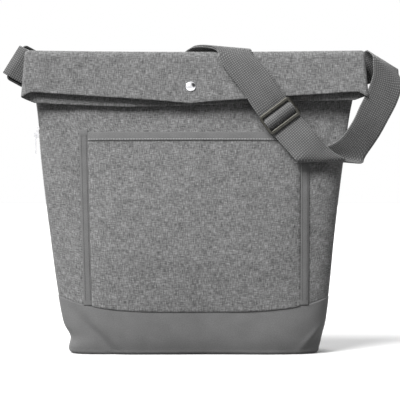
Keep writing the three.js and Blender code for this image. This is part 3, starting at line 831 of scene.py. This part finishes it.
def pocket_tapes():
    """The tapes that cover the pocket's side edges; gives the lines that they are sewn along."""
    lines = []
    for name, side, top in (("pocket_left_tape", 0, 0.266), ("pocket_right_tape", 1, 0.264)):
        out = 1 if side else -1
        rows, columns = 110, 11
        foot = seam_z(pocket_edges(POCKET_FOOT)[side] + out * TAPE_WIDTH / 2) + 0.6 * MM
        z, u = np.meshgrid(np.linspace(foot, top, rows), np.linspace(0, 1, columns), indexing="ij")
        x = pocket_edges(z)[side] + out * u * TAPE_WIDTH
        crown = 0.25 * MM * np.sin(math.pi * u)
        hem = 0.8 * MM * smoothstep(z, top - 8 * MM, top - 6 * MM)
        grid = front_surface(x, z, 0.9 * MM + crown + hem)
        if out < 0:
            grid = grid[:, ::-1]
        piece = cloth(name.replace("pocket_", "") + "_cloth", grid, 0.9 * MM, TAPE_CLOTH)
        place(piece, "bag", [name], "tape_fabric")
        for share in (0.16, 0.84):
            column = grid[:, int(round(share * (columns - 1)))]
            lines.append(column[3:-2] + FORWARD * 0.5 * MM)
    return lines


def make_pocket():
    pocket_panel()
    seams = [
        stitches("binding_stitches", pocket_binding(), FORWARD, GREY_THREAD, 3.4 * MM, 0.5 * MM),
        stitches("tape_stitches", pocket_tapes(), FORWARD, DARK_THREAD, 3.0 * MM, 0.3 * MM),
    ]
    for seam in seams:
        place(seam, "bag", [], "tape_fabric")


# ---- flap ----
FLAP_DOWN = np.array((0.0, -math.sin(FLAP_TILT), -math.cos(FLAP_TILT)))
FLAP_OUT = np.array((0.0, -math.cos(FLAP_TILT), math.sin(FLAP_TILT)))
FOLD_AXIS = np.array((0.0, FOLD_Y, NECK_Z))
PLY_MIDDLE = 6.5 * MM              # middle of the flattened tube, from the fold's axis
FLAT_NECK = 0.295                  # height of the neck on the cloth laid flat


def fold_lift(x):
    """The folded edge rises a little towards its ends."""
    return 1.8 * MM * (x / FLAP_HALF_WIDTH) ** 2


def fold_shift(x):
    """The whole flap sits a little to the left."""
    return -0.8 * MM + 0.004 * x


def flap_points(x, down, out, slack):
    """Places on the hanging flap: down from the fold's axis, and out from it towards the front."""
    x, down, out = np.broadcast_arrays(x, down, out)
    free = np.clip(down / 0.03, 0, 1)
    out = out + slack(x, down) * free
    points = FOLD_AXIS + down[..., None] * FLAP_DOWN + out[..., None] * FLAP_OUT
    points[..., 0] = x + fold_shift(x) + 0.06 * down * (x / FLAP_HALF_WIDTH)
    points[..., 2] += fold_lift(x)
    return points


def back_hem(x):
    """How far down the outer ply's hem is: it dips below the snap and turns down at the corners."""
    dip = 0.0554 - 0.013 * np.minimum(1, np.abs(x - SNAP_X) / 0.190) ** 0.75
    return dip + 0.0055 * np.clip((np.abs(x) - 0.191) / 0.010, 0, 1) ** 1.3


def front_hem(x):
    """How far down the inner ply's hem is."""
    plain = 0.057 - 0.007 * np.minimum(1, np.abs(x + 0.080) / 0.200) ** 1.2
    return plain - 0.005 * np.clip((np.abs(x) - 0.188) / 0.014, 0, 1)


def outer_slack(x, down):
    slack = ripple(x, down, 0.06, 31, 1.1) + ripple(x, down, 0.022, 32, 0.25)
    # the snap holds the ply in
    held = bell(x, SNAP_X, 0.022) * bell(down, SNAP_DOWN, 0.022)
    return slack * (1 - held) - 0.6 * MM * held


def inner_slack(x, down):
    return ripple(x, down, 0.05, 33, 0.7)


def fold_cloth(name, sign, node):
    """Half of the flattened tube, from the neck over the fold: sign -1 is the inside of the fold."""
    rows = 34 if sign > 0 else 14
    x, stand = half_tube_outline()
    angle = np.linspace(0, math.pi - FLAP_TILT, rows)[:, None]
    begun = smoothstep(angle, 0, 1.2)
    reach = PLY_MIDDLE + sign * stand
    y, z = FOLD_Y + reach * np.cos(angle), NECK_Z + reach * np.sin(angle) + fold_lift(x) * begun
    grid = np.stack([x + fold_shift(x) * begun, y, z], axis=-1)
    piece = cloth(name, grid, CLOTH, HEATHER, start=(0, FLAT_NECK), joined=(0, rows - 1), turn=sign > 0)
    reach = PLY_MIDDLE + sign * NECK_ROUND
    ends = (0.005, -0.018) if sign > 0 else (FOLD_Y + reach, FOLD_Y - reach)
    ends = [(0, y, 0) for y in ends]
    place(piece, ("bag", "flap_front"), [node], "heather_fabric", ends=ends)


def ply(name, body, node, sign, hem, slack):
    """One hanging ply of the flap, between the tube's side folds: sign 1 is the outer one."""
    rows = 40
    x = half_tube_outline()[0]
    x = np.concatenate([[-NECK_FLAT], x[np.abs(x) <= NECK_FLAT], [NECK_FLAT]])
    down = np.linspace(0, 1, rows)[:, None] * hem(x)
    out = PLY_MIDDLE + sign * NECK_ROUND
    grid = flap_points(x, down, out, slack)
    start = (0, FLAT_NECK + out * (math.pi - FLAP_TILT))
    piece = cloth(name, grid, CLOTH, HEATHER, start=start, joined=(0,), turn=sign > 0)
    place(piece, body, [node], "heather_fabric")


def side_web(name, side):
    """The tube's side fold between the two plies, open at the hem."""
    rows, columns = 24, 11
    angle = np.linspace(0, math.pi, columns)[None, :]
    share = (1 - np.cos(angle)) / 2
    x = side * (NECK_FLAT + NECK_ROUND * np.sin(angle))
    hem = front_hem(x) * (1 - share) + back_hem(x) * share
    down = np.linspace(0, 1, rows)[:, None] * hem
    out = PLY_MIDDLE - NECK_ROUND * np.cos(angle)
    x = np.broadcast_to(x, down.shape)
    edge = np.full_like(down, side * NECK_FLAT)
    slack = inner_slack(edge, down) * (1 - share) + outer_slack(edge, down) * share
    grid = flap_points(x, down, out, lambda a, b: slack)
    start = (side * 0.203, 0.32)
    piece = cloth(name, grid, CLOTH, HEATHER, start=start, joined=(0,), turn=side < 0)
    base = FOLD_AXIS + 0.03 * FLAP_DOWN
    ends = [base + FLAP_OUT * (PLY_MIDDLE + sign * NECK_ROUND) for sign in (-1, 1)]
    place(piece, ("flap_front", "flap_back"), [], "heather_fabric", ends=ends)


def snap_dome_profile():
    """A short shank, a rolled edge, and a low dome: radius and height."""
    edge_radius, edge_height, dome_height = 6.1, 1.0, 2.9
    angle = np.radians(range(20, 91, 7))
    radius = edge_radius * np.cos(angle) / np.cos(angle[0])
    height = edge_height + dome_height * (np.sin(angle) - np.sin(angle[0]))
    shank = [(2.0, -2.0), (2.0, 0.0), (5.9, 0.0), (6.15, 0.2), (6.25, 0.6)]
    return np.vstack([shank, np.column_stack([radius, height])]) * MM


def make_flap():
    fold_cloth("outer_fold_cloth", 1, "outer_fold_band")
    fold_cloth("inner_fold_cloth", -1, "inner_fold_band")
    ply("flap_outer_cloth", "flap_back", "flap_back_ply", 1, back_hem, outer_slack)
    ply("flap_inner_cloth", "flap_front", "flap_front_ply", -1, front_hem, inner_slack)
    side_web("flap_left_web", -1)
    side_web("flap_right_web", 1)
    snap_at = FOLD_AXIS + (SNAP_X, 0, 0) + SNAP_DOWN * FLAP_DOWN
    face = PLY_MIDDLE + NECK_ROUND + CLOTH / 2 - 0.5 * MM
    cap = lathe("snap_dome", snap_dome_profile(), snap_at + FLAP_OUT * face, FLAP_OUT, SILVER)
    place(cap, "flap_back", ["snap_cap"], "silver_metal")
    for name in ("snap_socket", "snap_stud", "snap_post"):
        dress(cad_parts[name], SILVER, bevel=0.2 * MM, segments=2)


# ---- rings, tabs and strap ----
RING_LENGTH = 0.048
RING_WIDTH = 0.026
RING_BAR = 0.004
RING_Y = 0.017
TAB_WIDTH = 0.036
TAB_REACH = 0.026                  # from the ring's inner bar to the tab's sewn ends
RINGS = {
    "left": (np.array((-0.209, RING_Y, 0.345)), np.array((-0.878, 0.0, 0.479))),
    "right": (np.array((0.180, RING_Y, 0.331)), np.array((0.9, 0.0, 0.436))),
}
ADJUSTER_AT = np.array((0.100, -0.037, 0.282))
ADJUSTER_LENGTH = 0.045
ADJUSTER_HEIGHT = 0.027
ADJUSTER_BAR = 0.0046


def make_ring(side):
    middle, out = RINGS[side]
    bar = np.cross(BACKWARD, out)
    path = rounded_frame(middle, out, bar, RING_WIDTH - RING_BAR, RING_LENGTH - RING_BAR, 3.4 * MM)
    half = RING_BAR / 2
    ring = sweep(f"{side}_ring_bars", path, (half, half), BLACK_METAL, BACKWARD, closed=True)
    place(ring, f"{side}_loop", [f"{side}_ring"], "black_metal")
    make_tab(side, middle, out, bar)


def make_tab(side, middle, out, bar):
    """Webbing folded round the ring's inner bar, its two ends sewn flat to the back of the bag."""
    round_bar = RING_BAR / 2 + 1.0 * MM
    bar_at = -(RING_WIDTH - RING_BAR) / 2
    columns = 15
    wide = np.linspace(-TAB_WIDTH / 2, TAB_WIDTH / 2, columns)
    foot = middle + out * (bar_at - TAB_REACH)
    foot_z = min(foot[2], 0.340)
    sewn = float(wall_depth(foot[0], foot_z, back_slackness)) + 0.3 * MM
    leg = [(bar_at - TAB_REACH * t, 1 - smoothstep(t, 0, 0.75)) for t in np.linspace(1, 0, 12)[:-1]]
    inner, outer = sewn + 1.0 * MM, sewn + 3.0 * MM
    rows = [(u, inner + (RING_Y - round_bar - inner) * high) for u, high in leg]
    for angle in np.linspace(-math.pi / 2, math.pi / 2, 11):
        rows.append((bar_at + round_bar * math.cos(angle), RING_Y + round_bar * math.sin(angle)))
    rows += [(u, outer + (RING_Y + round_bar - outer) * high) for u, high in leg[::-1]]
    along, depth = np.array(rows).T
    grid = middle + out * along[:, None, None] + bar * wide[:, None]
    grid[..., 1] = depth[:, None]
    piece = cloth(f"{side}_tab_cloth", grid, 1.4 * MM, WEBBING, uv=ribbon_uv(grid))
    place(piece, "bag", [f"{side}_tab"], "webbing")
    # sewn down with a box of stitches at its end
    low, high = len(rows) - 2, len(rows) - 7
    face = grid + BACKWARD * 0.85 * MM
    box = [face[low, 1:-1], face[high, 1:-1], face[high:low + 1, 1], face[high:low + 1, columns - 2]]
    sewing = stitches(f"{side}_tab_stitches", box, BACKWARD, GREY_THREAD, radius=0.35 * MM)
    place(sewing, "bag", [], "webbing")


def smooth_through(points, places):
    """Centripetal Catmull-Rom curve through points, at places counted in points from 0."""
    padded = np.vstack([2 * points[0] - points[1], points, 2 * points[-1] - points[-2]])
    found = []
    for at in places:
        i = min(int(at), len(points) - 2)
        w = at - i
        q = padded[i:i + 4]
        d = np.maximum(np.linalg.norm(np.diff(q, axis=0), axis=1) ** 0.5, 1e-5)
        slope = np.diff(q, axis=0) / d[:, None]
        start = (slope[0] - (q[2] - q[0]) / (d[0] + d[1]) + slope[1]) * d[1]
        end = (slope[1] - (q[3] - q[1]) / (d[1] + d[2]) + slope[2]) * d[1]
        a, b = q[1], q[2]
        bend, twist = 3 * (b - a) - 2 * start - end, 2 * (a - b) + start + end
        found.append(a + start * w + bend * w ** 2 + twist * w ** 3)
    return np.array(found)


def ribbon_uv(grid):
    """Cloth coordinates for a strip: straight across and along it, in metres."""
    middle = grid[:, grid.shape[1] // 2]
    run = unit(np.gradient(middle, axis=0))
    offset = grid - middle[:, None]
    ahead = (offset * run[:, None]).sum(-1)
    side = np.sign(np.linspace(-1, 1, grid.shape[1]))
    u = side * np.sqrt(np.maximum((offset ** 2).sum(-1) - ahead ** 2, 0))
    return np.dstack([u, run_lengths(middle)[:, None] + ahead])


def strap_rows(route, step=0.1):
    """Places along a route, in metres, with the line across and the normal at each."""
    route = np.array(route, float)
    places = np.arange(0, len(route) - 1 + 1e-9, step)
    middle = smooth_through(route[:, :3] * MM, places)
    line = unit(smooth_through(route[:, 3:], places))
    normal = np.cross(unit(np.gradient(middle, axis=0)), line)
    spread = 1 / np.linalg.norm(normal, axis=1)
    return middle, line, unit(normal), spread


def webbing(name, route, node):
    """A woven ribbon along a route."""
    columns = 17
    middle, line, _, spread = strap_rows(route)
    wide = np.linspace(-0.5, 0.5, columns) * WEBBING_WIDTH
    grid = middle[:, None] + line[:, None] * (wide[:, None] * spread[:, None, None])
    piece = cloth(name, grid, WEBBING_THICK, WEBBING, uv=ribbon_uv(grid))
    place(piece, ("bag", "flap_front"), [node], "webbing", ends=((0, 0.006, 0), (0, -0.016, 0)))
    float(run_lengths(middle)[-1])


def return_route():
    """The second layer: its start, and the route between its doubled places, moved off by one layer."""
    middle, line, normal, _ = strap_rows(STRAP_ROUTE, step=1)
    first, last = DOUBLED
    moved = np.hstack([(middle - normal * LAYER) / MM, line])
    return np.vstack([RETURN_END, moved[first:last + 1]])


def make_strap():
    webbing("strap_main_webbing", STRAP_ROUTE, "strap_main")
    webbing("strap_return_webbing", return_route(), "strap_return")
    make_adjuster()


def make_adjuster():
    """A cast frame with three bars, threaded by the strap."""
    long, up = np.array((0.8, 0.0, 0.6)), np.array((-0.6, 0.0, 0.8))
    face = np.cross(long, up)
    size = (ADJUSTER_LENGTH - ADJUSTER_BAR, ADJUSTER_HEIGHT - ADJUSTER_BAR)
    path = rounded_frame(ADJUSTER_AT, long, up, *size, 2.4 * MM)
    half = ADJUSTER_BAR / 2
    rim = sweep("adjuster_rim", path, (half, 1.6 * MM), GUNMETAL, face, True, sides=16, square=2.3)
    reach = ADJUSTER_LENGTH / 2 - ADJUSTER_BAR
    ends = [ADJUSTER_AT + long * u * reach for u in np.linspace(-1, 1, 9)]
    cross_bar = sweep("adjuster_bar", ends, (half, 1.5 * MM), GUNMETAL, face, sides=16, square=3.0)
    place(rim, "strap_adjuster", ["strap_slider"], "gunmetal")
    place(cross_bar, "strap_adjuster", [], "gunmetal")


# ---- side zip ----
def edge_x(z):
    """The left side seam, where the zip is."""
    return lean(z) - sections(z)[..., 0]


def zip_tape(name, side):
    rows, columns = 50, 6
    up = np.linspace(ZIP_BOTTOM - 2 * MM, ZIP_TOP + 2 * MM, rows)
    z, y = np.meshgrid(up, side * np.linspace(0.5 * MM, ZIP_HALF + 1.5 * MM, columns), indexing="ij")
    x = edge_x(z) + 0.9 * MM + np.clip(np.abs(y) - ZIP_HALF * 0.7, 0, 1) * 0.3
    grid = np.stack([x, y, z], axis=-1)
    piece = cloth(name + "_cloth", grid, 0.6 * MM, ZIP_CLOTH, turn=side > 0)
    place(piece, "bag", [name], "zip_tape")


def zip_teeth():
    """Small blocks up the seam, by turns on the front tape and the back one."""
    vertices, faces = [], []
    pitch, half = 1.5 * MM, np.array((0.9, 1.1, 0.5)) * MM
    for k in range(int((ZIP_TOP - ZIP_BOTTOM - 6 * MM) / pitch)):
        z = ZIP_BOTTOM + 3 * MM + k * pitch
        centre = np.array((float(edge_x(z)) + 0.1 * MM, (0.45 if k % 2 else -0.45) * MM, z))
        base = len(vertices)
        vertices.extend(centre + half * (a, b, c) for a in (-1, 1) for b in (-1, 1) for c in (-1, 1))
        for quad in ((0, 1, 3, 2), (4, 6, 7, 5), (0, 4, 5, 1), (2, 3, 7, 6), (0, 2, 6, 4), (1, 5, 7, 3)):
            faces.append(tuple(base + q for q in quad))
    teeth = mesh_object("zip_teeth", vertices, faces, ZIP_TEETH)
    teeth.data.polygons.foreach_set("use_smooth", [False] * len(teeth.data.polygons))
    place(teeth, "bag", [], "zip_tape")


def make_zip():
    zip_tape("zip_tape_front", -1)
    zip_tape("zip_tape_back", 1)
    zip_teeth()
    for name in ("zip_top_stop", "zip_bottom_stop", "zip_slider", "zip_pull"):
        dress(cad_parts[name], SILVER, bevel=0.25 * MM, segments=2)


# ---- stage ----
# name, strength, size in degrees, where it comes from
SOFT_LIGHTS = [
    ("key", 4.35, 32, (-0.78, -0.85, 1.15)),
    ("fill_behind", 2.4, 60, (-0.10, 1.00, 0.75)),
]
AMBIENT = 0.22
FLOOR_BOUNCE = 0.16
DARK_SIDE = (0.58, -0.57, 0.58)    # where the studio is dark, as polished metal shows it
DARK_SIDE_EDGE = (0.84, 0.93)      # cosines at which the dark begins and is full
DARK_SIDE_LEFT = 0.04              # the light that is left there


def make_floor():
    """White to the camera, and dimmer as a light on the cloth above it."""
    look = Nodes("floor_look", roughness=0.9, specular=0.0)
    path = look.add("ShaderNodeLightPath")
    look.colour(path.outputs["Is Diffuse Ray"], [(0.0, 0.92), (1.0, FLOOR_BOUNCE)])
    reach = 60
    corners = [(-reach, -reach, 0), (reach, -reach, 0), (reach, reach, 0), (-reach, reach, 0)]
    mesh_object("floor", corners, [(0, 1, 2, 3)], look.material)


def make_lights():
    for name, strength, size, direction in SOFT_LIGHTS:
        data = bpy.data.lights.new(name, "SUN")
        data.energy = strength
        data.angle = math.radians(size)
        light = bpy.data.objects.new(name, data)
        light.rotation_euler = Vector(direction).to_track_quat("Z", "Y").to_euler()
        bpy.context.scene.collection.objects.link(light)


def make_surround():
    """White to the camera, with one dark side in polished metal, and dimmer as a light on cloth."""
    world = bpy.data.worlds.new("studio")
    bpy.context.scene.world = world
    world.use_nodes = True
    tree, link = world.node_tree, world.node_tree.links.new
    tree.nodes.clear()
    path = tree.nodes.new("ShaderNodeLightPath")

    def surround(strength):
        return add_node(tree, "ShaderNodeBackground", Color=(1, 1, 1, 1), Strength=strength)

    def chosen(ray, plain, special):
        mix = tree.nodes.new("ShaderNodeMixShader")
        for socket, source in enumerate((path.outputs[ray], plain.outputs[0], special.outputs[0])):
            link(source, mix.inputs[socket])
        return mix

    direction = tree.nodes.new("ShaderNodeTexCoord")
    toward = add_node(tree, "ShaderNodeVectorMath", operation="DOT_PRODUCT")
    toward.inputs[1].default_value = DARK_SIDE
    link(direction.outputs["Generated"], toward.inputs[0])
    shade = tree.nodes.new("ShaderNodeMapRange")
    for socket, value in zip(shade.inputs[1:5], (*DARK_SIDE_EDGE, 1.0, DARK_SIDE_LEFT)):
        socket.default_value = value
    link(toward.outputs["Value"], shade.inputs[0])
    in_metal = surround(1.0)
    link(shade.outputs[0], in_metal.inputs["Strength"])
    seen = chosen("Is Glossy Ray", surround(1.0), in_metal)
    out = tree.nodes.new("ShaderNodeOutputWorld")
    link(chosen("Is Diffuse Ray", seen, surround(AMBIENT)).outputs[0], out.inputs[0])


def make_stage():
    """A pale floor and a white studio: a soft key at the upper left, a fill behind, an even surround."""
    bpy.context.scene.view_settings.view_transform = "Standard"
    make_floor()
    make_lights()
    make_surround()


make_camera()
make_body()
make_pocket()
make_flap()
for ring_side in RINGS:
    make_ring(ring_side)
make_strap()
make_zip()
make_stage()
